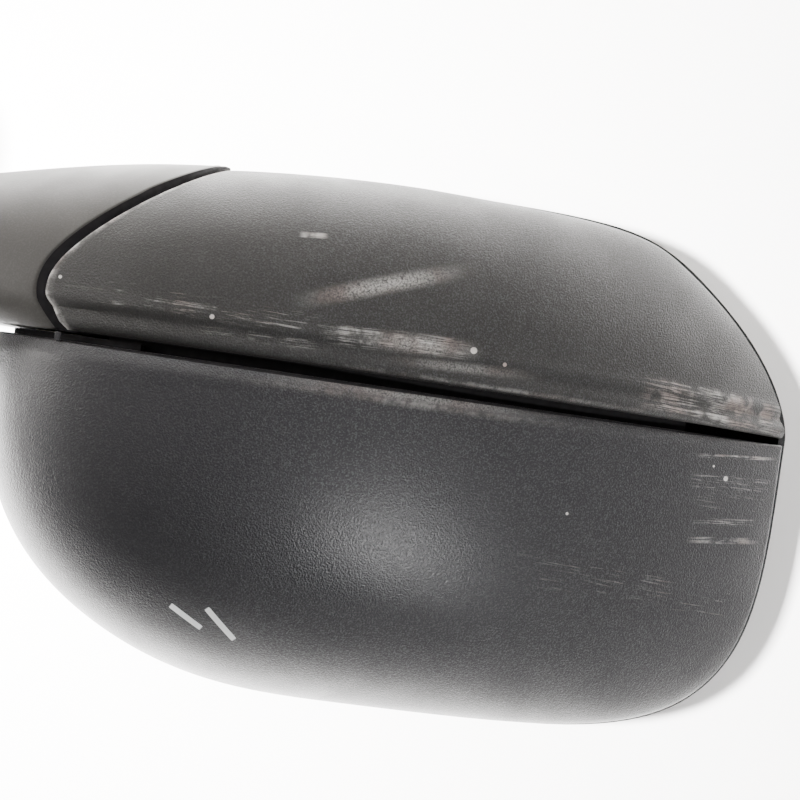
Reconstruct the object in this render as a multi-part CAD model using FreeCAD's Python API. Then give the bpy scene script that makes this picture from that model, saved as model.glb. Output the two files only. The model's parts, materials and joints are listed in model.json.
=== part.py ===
"""Towing mirror: a wide right-hand door mirror head on a short folding arm.

+Z is up, +Y is the vehicle's forward direction and +X points away from the door. The origin is the
centre of the flat face that is bolted to the door. All sizes are in millimetres.

The head hangs on a vertical pivot post and folds rearwards. Its outside is a domed cover above a
horizontal parting groove, a lower trim below it, and a bezel that carries the two glasses.
"""
import FreeCAD
import Part

import math
import os

from FreeCAD import Vector

# ---- driving dimensions -------------------------------------------------------------------------
WALL = 2.5                      # plastic wall of every cover

# head outline, in the plane where covers and bezel meet
HEAD_MID_X = 225.0              # middle of the head's width
HALF_WIDTH = 148.0
GROOVE_Z = 27.5                 # height of the parting groove
GROOVE = 3.0                    # width of the groove
DOME_RISE = 121.0               # dome top above the groove
TRIM_DROP = 75.0                # trim bottom below the groove at mid width
TRIM_TAPER = 0.03               # how much less it drops at the outboard end
TRIM_RISE = 0.13                # how much it rises towards the arm
EDGE_Y = -15.0                  # plane of the covers' edges
EDGE_LIP = 2.0                  # height of the covers' upright edge
DOME_CORNERS = (2.5, 4.1)       # outline roundness, inboard and outboard: higher is squarer
TRIM_CORNERS = (2.55, 1.65)     # the same for the width of the trim
TRIM_END = 5.0                  # and for the drop of its outboard end

# how far the covers stand forward of the edge plane
DOME_HEIGHT = 142.0             # scale of the dome's wing-shaped profile
DOME_NOSE = 1 / 3               # power at the blunt inboard end
DOME_TAIL = 0.95                # power at the thin outboard end
DOME_BEND = 3.2                 # higher keeps the dome's face flat for longer
TRIM_HEIGHT = 67.5              # ridge of the trim at its highest point
TRIM_CREST_X = 155.0            # where that is
TRIM_INBOARD_FALL = 6.0 / 50.0 ** 2
TRIM_BEND = 2.2
RIDGE_DROP = 13.0               # ridge along trim and arm, below the groove's middle
RIDGE_RISE = 0.5                # the ridge's share of that drop lost at the outboard end
LIP_FALL = 3.5                  # from the ridge back to the groove
RIDGE_Z = GROOVE_Z - RIDGE_DROP

# fold joint
PIVOT_X = 104.0
DRUM_R = 46.0                   # round end of the arm
DRUM_GAP = 2.5
ARM_TOP_Z = 26.0
SKIRT_GAP = 0.7                 # clearance of the dome's skirt over the arm's top
SKIRT_INSETS = (6.5, 8.0)
SKIRT_END_X = 130.0
SEAM_CHAMFER = 11.0             # how far the trim's corner at the groove is cut back from the arm
POST_R = 11.0
POST_BORE_R = 7.0
POST_TOP_Z = 74.0
BOSS_R = 15.5
BOSS_TOP_Z = 48.0

# bezel and glasses
BEZEL_REAR_Y = -43.0
BEZEL_PROUD = 1.6               # bezel stands outside the covers' edge by this
BEZEL_BORDER = 13.0
BEZEL_NOTCH_X = PIVOT_X + DRUM_R + DRUM_GAP + 0.5     # the bezel's lower part starts here
GLASS_GAP = 3.0
GLASS_T = 2.2
GLASS_REAR_Y = -37.0
MAIN_SILL_Z = 35.0
SPOTTER_TOP_Z = 21.0
SPOTTER_LEFT_X = BEZEL_NOTCH_X + 12.0

# glass drive
GLASS_X, GLASS_Z = 225.0, 84.0  # middle of the main glass
PIVOT_Y = -27.0                 # the gimbals' axes
SPOTTER_X, SPOTTER_Z = 262.0, -3.0
TILT_ARM = 26.0                 # plunger distances from the pivot
PAN_ARM = 32.0
PLUNGER_R = 3.0
BALL_R = 4.0
GEAR_Y = (-13.0, -6.0)
GEAR_TEETH = 24
GEAR_R = 11.0
WORM_R = 3.0
WORM_OFFSET = GEAR_R + WORM_R + 0.2
MOTOR_R = 8.5
CASE_W, CASE_H = 96.0, 80.0
CASE_Y = (-20.8, -4.0, 5.0)     # rear face, split and front face
FRAME_Y = (5.4, 9.4)            # vertical wall of the head frame
SCREW_SEAT_Y = -12.8            # the bezel screws' heads rest here on the frame's lugs
HINGE_PIN_R = 1.5
HINGE_HOLE_R = 1.58

# screws, and the frame's ribs and legs
SCREW_HEAD_R = 3.6
SCREW_R = 1.8
RIM_BOSSES = (0.345, 0.25, 0.155)                   # places round the rim
MIDDLE_BOSSES = [(184.0, 28.0), (300.0, 28.0)]      # x and z in the bar between the glasses
BOSS_INSET = 9.5
BOSS_R_BEZEL = 4.2
LUG_R = 6.0
CASE_POST_R = 4.6
RIB_XS = (150.0, 190.0, 231.0, 272.0)
RIB_T = 2.6
SPOTTER_LEGS = (225.0, 275.0)

# foot
FOOT_W, FOOT_H = 128.0, 96.0    # along Y and Z
FOOT_CORNER = 22.0
FOOT_T = 7.0
GASKET_T = 3.0
STUD_R = 4.0
KNURL_R = 4.3                   # where a stud is pressed into the plate
STUD_SPACING = (88.0, 56.0)     # along Y and Z
STUD_LENGTH = 22.0
CABLE_R = 9.0

ALONG_X = Vector(1, 0, 0)
ALONG_Y = Vector(0, 1, 0)
ALONG_Z = Vector(0, 0, 1)


# ---- small helpers ------------------------------------------------------------------------------
def box(x, y, z):
    """A box from three (low, high) pairs."""
    return Part.makeBox(x[1] - x[0], y[1] - y[0], z[1] - z[0], Vector(x[0], y[0], z[0]))


def rod(radius, length, start, along):
    return Part.makeCylinder(radius, length, start, along)


def tube(outer, inner, length, start, along):
    return rod(outer, length, start, along).cut(rod(inner, length, start, along))


def fused(pieces):
    whole = pieces[0]
    if len(pieces) > 1:
        whole = whole.fuse(pieces[1:])
    return whole.removeSplitter()


def prism(corners, y):
    """Block with straight sides, from (x, z) corners, between the two y."""
    points = [Vector(x, y[0], z) for x, z in corners]
    return Part.Face(Part.makePolygon(points + points[:1])).extrude(Vector(0, y[1] - y[0], 0))


def group(pieces):
    """Separate solids kept in one node."""
    return Part.makeCompound(pieces)


def fillet_where(shape, radius, wanted):
    edges = [e for e in shape.Edges if wanted(e)]
    return shape.makeFillet(radius, edges)


def spline(points, closed=False):
    curve = Part.BSplineCurve()
    curve.interpolate(Points=points, PeriodicFlag=closed)
    return curve.toShape()


def along_y_edges(e):
    ends = [v.Point for v in e.Vertexes]
    return len(ends) == 2 and abs((ends[1] - ends[0]).normalize().y) > 0.999


def along_x_edges(e):
    ends = [v.Point for v in e.Vertexes]
    return len(ends) == 2 and abs((ends[1] - ends[0]).normalize().x) > 0.999


def screw(head_r, shank_r, length, seat, along):
    """A pan-head screw: seat is the underside of the head, and along points down the shank."""
    head = rod(head_r, head_r * 0.7, seat - along * (head_r * 0.7), along)
    return fused([head, rod(shank_r, length, seat, along)])


# ---- the head's outside -------------------------------------------------------------------------
def rounded(value, power):
    return (1 - abs(value) ** power / 2) ** (1 / power)


def corner_power(corners, a):
    """Changes smoothly from the inboard power, at a = -1, to the outboard one, at a = 1."""
    inboard, outboard = corners
    return (inboard + outboard) / 2 + (outboard - inboard) / 2 * math.sin(math.pi * a / 2)


def dome_point(s, b):
    """s runs 0 to 1 from the inboard to the outboard end, b 0 to 1 from the groove to the top."""
    a = 2 * s - 1
    power = corner_power(DOME_CORNERS, a)
    wing = s ** DOME_NOSE * (1 - s) ** DOME_TAIL
    bend = math.sqrt(max(0.0, 1 - b ** DOME_BEND))
    return Vector(HEAD_MID_X + HALF_WIDTH * a * rounded(b, power),
                  EDGE_Y + EDGE_LIP + DOME_HEIGHT * wing * bend,
                  GROOVE_Z + DOME_RISE * b * rounded(a, power))


def ridge_height(x):
    """How far the ridge of trim and arm stands forward of the edge plane."""
    if x > TRIM_CREST_X:
        share = (x - TRIM_CREST_X) / (HEAD_MID_X + HALF_WIDTH - TRIM_CREST_X)
        return TRIM_HEIGHT * (1 - share ** 2)
    return TRIM_HEIGHT - TRIM_INBOARD_FALL * (TRIM_CREST_X - x) ** 2


def trim_drop(a):
    """Drop of the trim's bottom edge below the groove."""
    if a < 0:
        return TRIM_DROP * (1 - TRIM_RISE * a ** 2)
    return TRIM_DROP * (1 - TRIM_TAPER * a) * rounded(a, TRIM_END)


def trim_point(a, b):
    """a runs along the head, -1 to 1, and b 0 to 1 from the groove down to the bottom edge."""
    ridge_b = RIDGE_DROP / TRIM_DROP * (1 - RIDGE_RISE * max(a, 0.0))
    height = ridge_height(HEAD_MID_X + HALF_WIDTH * a)
    if b < ridge_b:
        height *= 1 - LIP_FALL / TRIM_HEIGHT * (1 - b / ridge_b) ** 2
    else:
        height *= math.sqrt(max(0.0, 1 - ((b - ridge_b) / (1 - ridge_b)) ** TRIM_BEND))
    return Vector(HEAD_MID_X + HALF_WIDTH * a * rounded(b, corner_power(TRIM_CORNERS, a)),
                  EDGE_Y + EDGE_LIP + height,
                  GROOVE_Z - trim_drop(a) * b)


def dome_at(u, v, start=GROOVE / 2 / DOME_RISE):
    """The dome with u and v from 0 to 1, bunched up where its walls are steep."""
    s = (1 - math.cos(math.pi * u / 2)) ** 1.5
    return dome_point(s, start + (1 - start) * math.sin(math.pi * v / 2))


def trim_at(u, v, start=GROOVE / 2 / TRIM_DROP, first=-0.97):
    return trim_point(first + (1 - first) * u, start + (1 - start) * math.sin(math.pi * v / 2))


def normal_at(surface, u, v, sign):
    """Unit normal from differences, taken a little inside the borders."""
    step = 0.004
    u = min(max(u, 0.02), 1 - 0.02)
    v = min(max(v, 0.02), 1 - 0.02)
    across = surface(u + step, v) - surface(u - step, v)
    down = surface(u, v + step) - surface(u, v - step)
    return (across.cross(down) * sign).normalize()


def shell_from(surface, sign, columns, rows):
    """A closed wall of thickness WALL behind a surface, with a face on each of its four borders."""
    outer, inner = [], []
    for i in range(columns + 1):
        u = i / columns
        outer.append([surface(u, j / rows) for j in range(rows + 1)])
        inner.append([])
        for j in range(rows + 1):
            point = outer[i][j] - normal_at(surface, u, j / rows, sign) * WALL
            on_rim = j == rows or i == columns or (i == 0 and outer[i][j].y < EDGE_Y + EDGE_LIP + 0.01)
            point.y = EDGE_Y if on_rim else max(point.y, EDGE_Y)
            inner[i].append(point)
    skins = []
    for grid in (outer, inner):
        skin = Part.BSplineSurface()
        skin.interpolate(grid)
        skins.append(skin)
    sides = []
    for which in ("u0", "u1", "v0", "v1"):
        edges = [border(skin, which) for skin in skins]
        sides.append(Part.makeRuledSurface(edges[0], edges[1]))
    sewn = Part.makeShell([skins[0].toShape(), skins[1].toShape()] + sides)
    sewn.sewShape()
    solid = Part.makeSolid(sewn)
    if solid.Volume < 0:
        solid.reverse()
    return solid


def border(skin, which):
    u0, u1, v0, v1 = skin.bounds()
    curves = {"u0": lambda: skin.uIso(u0), "u1": lambda: skin.uIso(u1),
              "v0": lambda: skin.vIso(v0), "v1": lambda: skin.vIso(v1)}
    return curves[which]().toShape()


def drum(radius, z):
    return rod(radius, z[1] - z[0], Vector(PIVOT_X, 0, z[0]), ALONG_Z)


def groove_strip(surface, z, near, far):
    """Flat strip inside a cover, level with its edge, from near to far behind the skin."""
    count = 24
    front = [surface(i / count, 0.0) for i in range(1, count)]
    borders = []
    for inset in (near, far):
        pull = inset * 0.0055
        borders.append([Vector(p.x + (HEAD_MID_X - p.x) * pull, max(p.y - inset, EDGE_Y), z[0])
                        for p in front])
    outer, inner = borders
    wire = Part.Wire([spline(outer), Part.makeLine(outer[-1], inner[-1]),
                      spline(inner[::-1]), Part.makeLine(inner[0], outer[0])])
    return Part.Face(wire).extrude(Vector(0, 0, z[1] - z[0]))


def make_dome():
    """The dome, with an inward flange along the groove and a skirt that hides the arm's top."""
    wall = shell_from(dome_at, -1, 28, 18)
    low = GROOVE_Z + GROOVE / 2
    flange = groove_strip(dome_at, (low, low + WALL), WALL * 0.6, 11.0)
    skirt = groove_strip(dome_at, (ARM_TOP_Z + SKIRT_GAP, low + 1), *SKIRT_INSETS)
    skirt = skirt.common(box((0, SKIRT_END_X), (0, 90), (0, 60)))
    return fused([wall, flange, skirt])


def make_trim():
    """The lower trim, with a flange and a tongue behind the groove, cut away round the arm's drum."""
    wall = shell_from(trim_at, 1, 26, 16)
    high = GROOVE_Z - GROOVE / 2 - 0.4
    flange = groove_strip(trim_at, (high - WALL, high), WALL * 0.6, 11.0)
    tongue = groove_strip(trim_at, (high - 1, GROOVE_Z + GROOVE / 2 - 0.6), 6.5, 8.5)
    cover = fused([wall, flange, tongue])
    tall = (-60.0, 60.0)
    arm_side = box((0, PIVOT_X), (-80, 80), tall)
    near, far = PIVOT_X - 1, PIVOT_X + SEAM_CHAMFER
    corner = [(near, RIDGE_Z - 2), (near, 40.0), (far, 40.0), (far, GROOVE_Z - GROOVE / 2)]
    chamfer = prism(corner, (-80.0, 80.0))
    return cover.cut([arm_side, chamfer, drum(DRUM_R + DRUM_GAP, tall)])


# ---- outlines in the edge plane -----------------------------------------------------------------
def rim_point(t):
    """Round the whole head once as t runs from 0 to 1, starting at the outboard tip."""
    turn = 2 * math.pi * t
    a, b = math.cos(turn), math.sin(turn)
    size = max(abs(a), abs(b))
    a, b = a / size, b / size
    if b >= 0:
        point = dome_point((a + 1) / 2, b)
    else:
        point = trim_point(a, -b)
        point.z = GROOVE_Z + min(trim_drop(a), TRIM_DROP * rounded(min(a, 0.0), TRIM_CORNERS[0])) * b
    return Vector(point.x, EDGE_Y, point.z)


def head_rim():
    """The head's outline as one smooth closed curve."""
    count = 64
    curve = Part.BSplineCurve()
    curve.interpolate(Points=[rim_point(k / count) for k in range(count)], PeriodicFlag=True)
    return curve


def slab(rim, grow, y):
    """Block inside the rim, grown or shrunk in its plane, from the first y to the second."""
    count = 72
    first, last = rim.FirstParameter, rim.LastParameter
    points = []
    for k in range(count):
        u = first + (last - first) * k / count
        along = rim.tangent(u)[0]
        outward = Vector(along.z, 0, -along.x)
        if outward.dot(rim.value(u) - Vector(HEAD_MID_X, EDGE_Y, GROOVE_Z)) < 0:
            outward = outward * -1
        point = rim.value(u) + outward * grow
        points.append(Vector(point.x, y[0], point.z))
    return Part.Face(Part.Wire([spline(points, closed=True)])).extrude(Vector(0, y[1] - y[0], 0))


def notched_slab(rim, grow, y):
    """The same without the low inboard part, where the arm's drum turns."""
    notch = box((0, BEZEL_NOTCH_X - grow), (y[0] - 1, y[1] + 1), (-100, GROOVE_Z + GROOVE / 2 - grow))
    return slab(rim, grow, y).cut(notch)


def main_opening(outline, grow, y):
    upper = slab(outline, -BEZEL_BORDER + grow, y)
    sill = box((0, 500), (y[0] - 1, y[1] + 1), (MAIN_SILL_Z - grow, 300))
    shape = upper.common(sill)
    return fillet_where(shape, 12.0 + grow, lambda e: along_y_edges(e) and e.Vertexes[0].Z < 60)


def spotter_opening(outline, grow, y):
    lower = slab(outline, -BEZEL_BORDER + grow, y)
    keep = box((SPOTTER_LEFT_X - grow, 500), (y[0] - 1, y[1] + 1), (-100, SPOTTER_TOP_Z + grow))
    shape = lower.common(keep)
    return fillet_where(shape, 8.0 + grow, along_y_edges)


# ---- bezel --------------------------------------------------------------------------------------
def boss_spots():
    """Where the screws hold the bezel: inside the rim along the top, and between the glasses."""
    spots = []
    for t in RIM_BOSSES:
        here, ahead = rim_point(t), rim_point(t + 0.002)
        along = (ahead - here).normalize()
        spots.append((here.x - along.z * BOSS_INSET, here.z + along.x * BOSS_INSET))
    return spots + MIDDLE_BOSSES


def make_bezel(outline):
    front_y = EDGE_Y - 0.6
    y = (BEZEL_REAR_Y, front_y)
    body = notched_slab(outline, BEZEL_PROUD, y)
    body = fillet_where(body, 3.5, lambda e: all(abs(v.Y - BEZEL_REAR_Y) < 0.01 for v in e.Vertexes))
    hollow = notched_slab(outline, BEZEL_PROUD - WALL, (BEZEL_REAR_Y + 3.0, front_y + 1))
    wells = []
    openings = []
    for opening in (main_opening, spotter_opening):
        wells.append(opening(outline, 2.0, (BEZEL_REAR_Y + 2.0, BEZEL_REAR_Y + 16.0)))
        openings.append(opening(outline, 0.0, (BEZEL_REAR_Y - 1.0, BEZEL_REAR_Y + 20.0)))
    bosses, holes = [], []
    for x, z in boss_spots():
        bosses.append(rod(BOSS_R_BEZEL, 26.0, Vector(x, BEZEL_REAR_Y + 1.0, z), ALONG_Y))
        holes.append(rod(SCREW_R - 0.25, 16.0, Vector(x, BEZEL_REAR_Y + 12.0, z), ALONG_Y))
    inside = notched_slab(outline, BEZEL_PROUD - WALL, (BEZEL_REAR_Y + 2.5, front_y))
    ring = body.cut([hollow])
    kept = [w.common(inside) for w in wells] + [b.common(inside) for b in bosses]
    return fused([ring] + kept).cut(openings + holes)


# ---- arm ----------------------------------------------------------------------------------------
# x, front y, middle y, rear y, bottom z and height of the top above the ridge
ARM_STATIONS = [(2.0, 46.0, 0.0, -46.0, -33.0, 20.0), (20.0, 38.0, -2.0, -38.0, -28.0, 14.0),
                (45.0, 32.0, -5.0, -32.0, -26.0, 11.0), (72.0, 38.5, -8.0, -37.0, -31.0, 16.0),
                (98.0, 46.7, -11.0, -42.0, -37.0, 28.0), (125.0, 52.0, -13.0, -43.0, -42.0, 30.0),
                (172.0, 54.4, -13.0, -43.0, -46.5, 30.0)]


def arm_section(station, inset):
    x, front, middle, rear, bottom, rise = station
    points = []
    count = 36
    for i in range(count):
        angle = 2 * math.pi * i / count
        across, up = math.cos(angle), math.sin(angle)
        depth = (front - middle if across > 0 else middle - rear) - inset
        height = (rise if up > 0 else RIDGE_Z - bottom) - inset
        y = middle + across * depth
        z = math.copysign(abs(up) ** (2 / 2.2), up) * height
        points.append(Vector(x, y, RIDGE_Z + z))
    return Part.Wire([spline(points, closed=True)])


def arm_body(inset, end_x=0.0):
    """The arm's outside, or its inside when inset, with its round end and its flat top."""
    body = Part.makeLoft([arm_section(s, inset) for s in ARM_STATIONS], True, False)
    neck = box((end_x, PIVOT_X - DRUM_GAP), (-90, 90), (-60, 60))
    plan = fused([neck, drum(DRUM_R - inset, (-60.0, 60.0))])
    top = box((55, 200), (-90, 90), (ARM_TOP_Z - inset, 90))
    return body.common(plan).cut(top)


def make_arm_covers():
    """Front and rear cover of the arm, which meet along its middle."""
    start = GASKET_T + FOOT_T + 0.3
    shell = arm_body(0.0, start).cut([arm_body(WALL), drum(POST_R + 6.0, (0.0, 40.0))])
    half = 90.0
    seam_y = -12.0
    front = shell.common(box((0, 200), (seam_y + 0.15, half), (-60, 60)))
    rear = shell.common(box((0, 200), (-half, seam_y - 0.15), (-60, 60)))
    return front, rear


def foot_prism(x, shrink, corner=FOOT_CORNER):
    wide, tall = FOOT_W / 2 - shrink, FOOT_H / 2 - shrink
    prism = box(x, (-wide, wide), (-tall, tall))
    return fillet_where(prism, corner - shrink * 0.5, along_x_edges)


def stud_spots():
    for y in (-STUD_SPACING[0] / 2, STUD_SPACING[0] / 2):
        for z in (-STUD_SPACING[1] / 2, STUD_SPACING[1] / 2):
            yield y, z


def beam_loft(stations, top):
    """Straight-sided block along the arm from (x, front y, rear y, bottom z) stations."""
    sections = []
    for x, front, rear, bottom in stations:
        corners = [Vector(x, front, bottom), Vector(x, front, top),
                   Vector(x, rear, top), Vector(x, rear, bottom)]
        sections.append(Part.makePolygon(corners + corners[:1]))
    return Part.makeLoft(sections, True, True)


def make_arm_core():
    """Die-cast arm: foot plate, open-bottomed beam and the disc under the pivot post."""
    root_x = GASKET_T + FOOT_T
    plate = foot_prism((GASKET_T, root_x), 4.0)
    pads = [rod(8.5, GASKET_T + 1, Vector(0, y, z), ALONG_X) for y, z in stud_spots()]
    pads.append(rod(CABLE_R + 5.0, GASKET_T + 1, Vector(0, 0, 0), ALONG_X))
    beam = beam_loft([(root_x - 1, 32.0, -30.0, -20.0), (PIVOT_X, 28.0, -30.0, -18.0)], 15.0)
    disc = drum(36.0, (-16.0, ARM_TOP_Z - WALL - 0.4))
    way = arm_body(WALL + 0.5).fuse(box((0, root_x + 0.2), (-70, 70), (-50, 50)))
    body = fused([plate] + pads + [fused([beam, disc]).common(way)])
    channel = beam_loft([(root_x + 4, 26.0, -24.0, -60.0), (PIVOT_X - 20, 22.0, -24.0, -60.0)], 11.0)
    dish = drum(31.0, (-60.0, 9.0)).cut(drum(POST_R + 6.0, (-61.0, 10.0)))
    bore = rod(CABLE_R, root_x + 6, Vector(-1, 0, 0), ALONG_X)
    well = drum(POST_BORE_R, (-60.0, 40.0))
    seat = drum(POST_R, (ARM_TOP_Z - WALL - 10.4, 60.0))
    stud_holes = [rod(KNURL_R, 30, Vector(-1, y, z), ALONG_X) for y, z in stud_spots()]
    return body.cut([channel, dish, bore, well, seat] + stud_holes)


def make_studs():
    """Four studs with collars, pressed into the foot plate from the arm's side."""
    collar = 2.0
    seat = GASKET_T + FOOT_T
    studs = []
    for y, z in stud_spots():
        shank = rod(STUD_R, STUD_LENGTH + 1, Vector(-STUD_LENGTH, y, z), ALONG_X)
        knurl = rod(KNURL_R, seat, Vector(0, y, z), ALONG_X)
        studs.append(fused([shank, knurl, rod(STUD_R + 2.5, collar, Vector(seat, y, z), ALONG_X)]))
    return group(studs)


def make_gasket():
    """Foam ring between the foot and the door, open round the studs and the cable."""
    return foot_prism((0.0, GASKET_T), 3.4).cut(foot_prism((-1.0, GASKET_T + 1), 8.5))


def make_grommet():
    """Rubber sleeve in the cable hole."""
    length = GASKET_T + FOOT_T + 4.0
    sleeve = tube(CABLE_R, CABLE_R - 2.0, length, Vector(0, 0, 0), ALONG_X)
    flange = tube(CABLE_R + 1.6, CABLE_R - 2.0, 1.8, Vector(length, 0, 0), ALONG_X)
    return fused([sleeve, flange])


def make_foot_cover():
    """Dished plastic cover over the foot plate, which the arm grows out of."""
    outer = foot_prism((0.6, 17.0), 0.0)
    outer = fillet_where(outer, 7.0, lambda e: abs(e.BoundBox.XMin - 17.0) < 0.01)
    inner = foot_prism((-1.0, 17.0 - WALL), 2.6)
    way = Part.makeLoft([arm_section(s, -0.5) for s in ARM_STATIONS[:3]], True, False)
    return outer.cut([inner, way])


# ---- fold joint ---------------------------------------------------------------------------------
def make_post():
    """Hollow steel post, pressed into the arm, that the head turns on."""
    foot = ARM_TOP_Z - WALL - 10.4
    post = drum(POST_R, (foot, POST_TOP_Z))
    rim = drum(POST_R + 5.0, (ARM_TOP_Z - WALL - 0.4, ARM_TOP_Z - 0.2))
    return fused([post, rim]).cut(drum(POST_BORE_R, (foot - 1, POST_TOP_Z + 1)))


def make_detent_ring():
    """Toothed ring on the arm's top that clicks into the head's boss."""
    z = (ARM_TOP_Z - 0.2, ARM_TOP_Z + 2.6)
    ring = drum(POST_R + 3.8, z).cut(drum(POST_R + 0.3, (z[0] - 1, z[1] + 3)))
    teeth = []
    for k in range(6):
        tooth = rod(1.4, 0.7, Vector(PIVOT_X + POST_R + 2.3, 0, z[1] - 0.2), ALONG_Z)
        tooth.rotate(Vector(PIVOT_X, 0, 0), ALONG_Z, 60 * k + 30)
        teeth.append(tooth)
    return fused([ring] + teeth)


def make_fold_spring():
    """Closed coils that press the boss down on the detents."""
    wire = 1.7
    radius = POST_R + wire + 0.7
    low, high = BOSS_TOP_Z + wire + 0.2, POST_TOP_Z - 6.2 - wire
    turns = 4.0
    helix = Part.makeHelix((high - low) / turns, high - low, radius)
    profile = Part.Wire([Part.makeCircle(wire, Vector(radius, 0, 0), Vector(0, 1, 0))])
    coil = Part.Wire(helix).makePipeShell([profile], True, True)
    coil.translate(Vector(PIVOT_X, 0, low))
    return coil


def make_spring_cap():
    """Washer and push nut that lock on the top of the post."""
    washer = drum(POST_R + 4.2, (POST_TOP_Z - 6.0, POST_TOP_Z - 4.0))
    nut = drum(POST_R + 3.5, (POST_TOP_Z - 4.2, POST_TOP_Z - 1.0))
    return fused([washer, nut]).cut(drum(POST_R, (POST_TOP_Z - 8, POST_TOP_Z + 1)))


# ---- head frame ---------------------------------------------------------------------------------
def make_head_frame():
    """Glass-filled frame: boss and floor round the post, and the wall that carries the drive."""
    low = GROOVE_Z + GROOVE / 2 + 0.3
    floor = box((PIVOT_X, 181.0), (-15.0, 15.0), (low, low + 4.0))
    boss = drum(BOSS_R, (low, BOSS_TOP_Z))
    wall = box((140.0, 290.0), FRAME_Y, (low, 131.0))
    wall = fillet_where(wall, 34.0, lambda e: along_y_edges(e) and e.Vertexes[0].Z > 60)
    rib_y = (FRAME_Y[1] - 1, FRAME_Y[1] + 8)
    ribs = [box((x, x + RIB_T), rib_y, (low, 112.0)) for x in RIB_XS]
    ribs.append(box((RIB_XS[0], RIB_XS[-1]), rib_y, (84.0, 84.0 + RIB_T)))
    web = [(PIVOT_X + 12, low), (PIVOT_X + 40, low), (PIVOT_X + 40, 92.0), (PIVOT_X + 28, 92.0),
           (PIVOT_X + 14, BOSS_TOP_Z - 2)]
    gusset = prism(web, (-1.3, 7.7))
    arms = []
    for x, z in boss_spots():
        lug = Vector(x, SCREW_SEAT_Y - 3.0, z)
        highest = 127.0 if x < RIB_XS[-1] else 112.0
        end = Vector(min(max(x, 158.0), RIB_XS[-1]), FRAME_Y[0] + 1.9, min(max(z, 38.0), highest))
        inward = Vector(end.x - x, 0, end.z - z).normalize() * (LUG_R - 0.8)
        arms.append(rod(LUG_R, 3.0, lug, ALONG_Y))
        arms.append(strut(lug + Vector(0, 1.5, 0) + inward, end, 2.4))
    solid = fused([floor, boss, wall, gusset] + ribs + arms)
    holes = []
    for x, z in boss_spots():
        holes.append(rod(SCREW_R + 0.2, 20, Vector(x, SCREW_SEAT_Y - 10, z), ALONG_Y))
        holes.append(rod(SCREW_HEAD_R + 0.3, 14, Vector(x, SCREW_SEAT_Y, z), ALONG_Y))
    sockets = []
    for x, z in case_screw_spots():
        sockets.append(rod(SCREW_R - 0.3, 12, Vector(x, FRAME_Y[0] - 1, z), ALONG_Y))
    bore = drum(POST_R + 0.06, (0.0, 90.0))
    bezel_side = box((80.0, 200.0), (-20.0, EDGE_Y - 0.2), (low - 1, low + 1.2))
    return solid.cut([bore, bezel_side] + holes + sockets)


def strut(start, end, radius):
    way = end - start
    ends = Part.makeSphere(radius, end)
    return fused([rod(radius, way.Length, start, way), ends])


def case_screw_spots():
    dx, dz = CASE_W / 2 - 7, CASE_H / 2 - 7
    return [(GLASS_X - dx, GLASS_Z - dz), (GLASS_X + dx, GLASS_Z - dz), (GLASS_X - dx, GLASS_Z + dz)]


# ---- glass drive --------------------------------------------------------------------------------
def rounded_block(w, h, y, corner, x=GLASS_X, z=GLASS_Z):
    block = box((x - w / 2, x + w / 2), y, (z - h / 2, z + h / 2))
    return fillet_where(block, corner, along_y_edges)


def make_case_halves():
    """Rear half with hinge ears and plunger guides, and front half against the frame."""
    rear_y, split_y, front_y = CASE_Y
    corner = 12.0
    rear = rounded_block(CASE_W, CASE_H, (rear_y, split_y - 0.1), corner)
    rear = rear.cut(rounded_block(CASE_W - 5, CASE_H - 5, (rear_y + 2.5, split_y + 1), corner - 2.5))
    front = rounded_block(CASE_W, CASE_H, (split_y + 0.1, front_y), corner)
    front = front.cut(rounded_block(CASE_W - 5, CASE_H - 5, (split_y - 1, front_y - 2.5), corner - 2.5))
    guides = []
    openings = []
    for dx, dz in ((0.0, TILT_ARM), (PAN_ARM, 0.0)):
        x, z = GLASS_X + dx, GLASS_Z + dz
        guides.append(rod(PLUNGER_R + 3.0, 7.0, Vector(x, rear_y, z), ALONG_Y))
        openings.append(rod(PLUNGER_R + 0.3, 20.0, Vector(x, rear_y - 2, z), ALONG_Y))
    posts, front_posts = [], []
    for x, z in case_screw_spots():
        posts.append(rod(CASE_POST_R, split_y - rear_y - 0.1, Vector(x, rear_y, z), ALONG_Y))
        front_posts.append(rod(CASE_POST_R, front_y - split_y - 0.1, Vector(x, split_y + 0.1, z), ALONG_Y))
        openings.append(rod(SCREW_R + 0.2, 40, Vector(x, rear_y - 1, z), ALONG_Y))
    ears, ear_holes = hinge_ears(GLASS_X, GLASS_Z, rear_y, 14.4, 17.6)
    rear = fused([rear] + guides + posts + ears).cut(openings + ear_holes)
    front = fused([front] + front_posts).cut(openings)
    return rear, front


def hinge_ears(x, z, base_y, near, far):
    """Two ears either side of a gimbal ring, with the holes its X pins turn in."""
    ears, holes = [], []
    for side in (-1, 1):
        low, high = sorted((x + side * near, x + side * far))
        ear = box((low, high), (PIVOT_Y - 3.2, base_y + 1.0), (z - 4.0, z + 4.0))
        ears.append(fillet_where(ear, 3.0, lambda e: along_x_edges(e) and e.Vertexes[0].Y < PIVOT_Y))
    holes.append(rod(HINGE_HOLE_R, 2 * far + 2, Vector(x - far - 1, PIVOT_Y, z), ALONG_X))
    return ears, holes


def make_gimbal_ring(x, z):
    """Ring with two pins that turn in the fixed ears and two that carry the glass holder."""
    ring = tube(12.0, 8.0, 4.0, Vector(x, PIVOT_Y - 2, z), ALONG_Y)
    reach = 17.4
    pins = []
    for along in (ALONG_X, ALONG_Z):
        for side in (-1, 1):
            start = Vector(x, PIVOT_Y, z) + along * (side * 10.0)
            pins.append(rod(HINGE_PIN_R, reach - 10.0, start, along * side))
    return fused([ring] + pins)


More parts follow.
